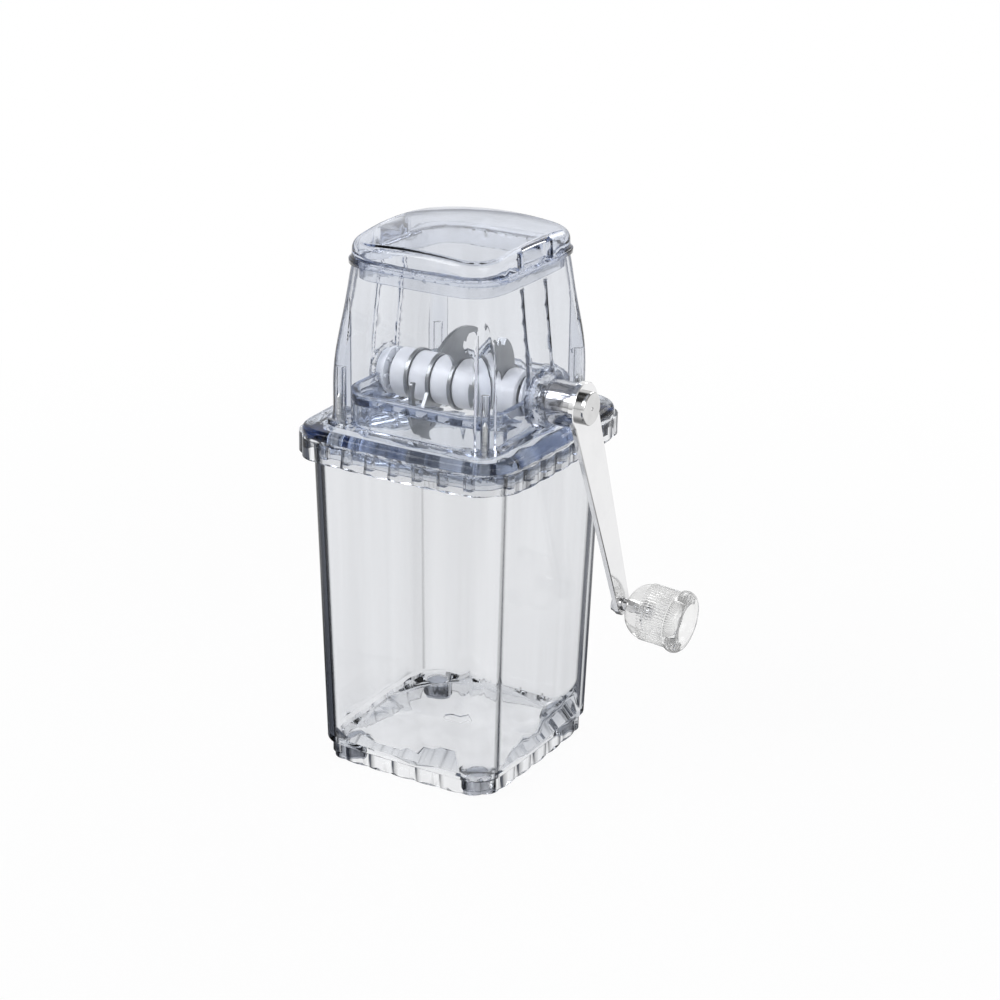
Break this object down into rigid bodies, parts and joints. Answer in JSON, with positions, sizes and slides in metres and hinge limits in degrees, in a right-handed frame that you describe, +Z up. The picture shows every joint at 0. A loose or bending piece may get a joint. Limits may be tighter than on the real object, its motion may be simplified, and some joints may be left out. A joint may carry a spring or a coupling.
{
  "type": "ice shaver with crank",
  "caption": "Hand cranked ice crusher: clear square container, clear hopper head with lid, blade drum on a side crank with a round knob.",
  "frame": {"origin": "centre of the container's axis on the surface it stands on, the underside of the four foot pads", "axes": "+Z up, +X along the blade shaft towards the crank, and the wide front face looks along -Y"},
  "size_m": [0.1492, 0.1184, 0.2414],
  "materials": {
    "clear_container": "clear polished moulded plastic, slightly grey at the edges",
    "clear_tray": "clear moulded plastic with a cool blue tinge in its depth",
    "clear_hopper": "clear polished moulded plastic",
    "clear_lid": "clear polished moulded plastic",
    "clear_knob": "clear moulded plastic with fine grip ribs",
    "foot_rubber": "translucent soft pad",
    "screw_steel": "plain zinc plated",
    "bushing_plastic": "white moulded plastic",
    "shaft_steel": "turned, plain",
    "blade_steel": "stamped stainless sheet, fine grained",
    "white_plastic": "white moulded plastic, satin",
    "chrome_sleeve": "bright chrome plate",
    "chrome_arm": "bright chrome plate on flat steel",
    "chrome_cap": "bright chrome plate",
    "pin_steel": "bright plated"
  },
  "bodies": {
    "base": {"container": "clear_container", "foot_pads": "foot_rubber"},
    "head": {"crusher_base": "clear_tray", "hopper": "clear_hopper", "hopper_screws": "screw_steel", "left_bushing": "bushing_plastic", "right_bushing": "bushing_plastic"},
    "lid": {"lid": "clear_lid"},
    "rotor": {"shaft": "shaft_steel", "claw_blade_1": "blade_steel", "claw_blade_2": "blade_steel", "claw_blade_3": "blade_steel", "tooth_blade_4": "blade_steel", "tooth_blade_5": "blade_steel", "drum_spacer_1": "white_plastic", "drum_spacer_2": "white_plastic", "drum_spacer_3": "white_plastic", "drum_spacer_4": "white_plastic", "drum_spacer_5": "white_plastic", "drum_end_hub": "white_plastic", "crank_sleeve": "chrome_sleeve", "crank_arm": "chrome_arm", "crank_cap_screw": "chrome_cap", "knob_pin": "pin_steel", "knob_pin_washer": "pin_steel"},
    "knob": {"crank_knob": "clear_knob"}
  },
  "joints": [
    {"name": "head_lift", "type": "slide", "parent": "base", "child": "head", "axis": [0, 0, 1], "range_m": [0, 0.08]},
    {"name": "lid_lift", "type": "slide", "parent": "head", "child": "lid", "axis": [0, 0, 1], "range_m": [0, 0.06]},
    {"name": "crank_turn", "type": "hinge", "parent": "head", "child": "rotor", "pos_m": [0, 0, 0.1702], "axis": [1, 0, 0], "continuous": true},
    {"name": "knob_spin", "type": "hinge", "parent": "rotor", "child": "knob", "pos_m": [0.06118, 0.04197, 0.06528], "axis": [0.9956, 0.0349, -0.0874], "continuous": true}
  ]
}
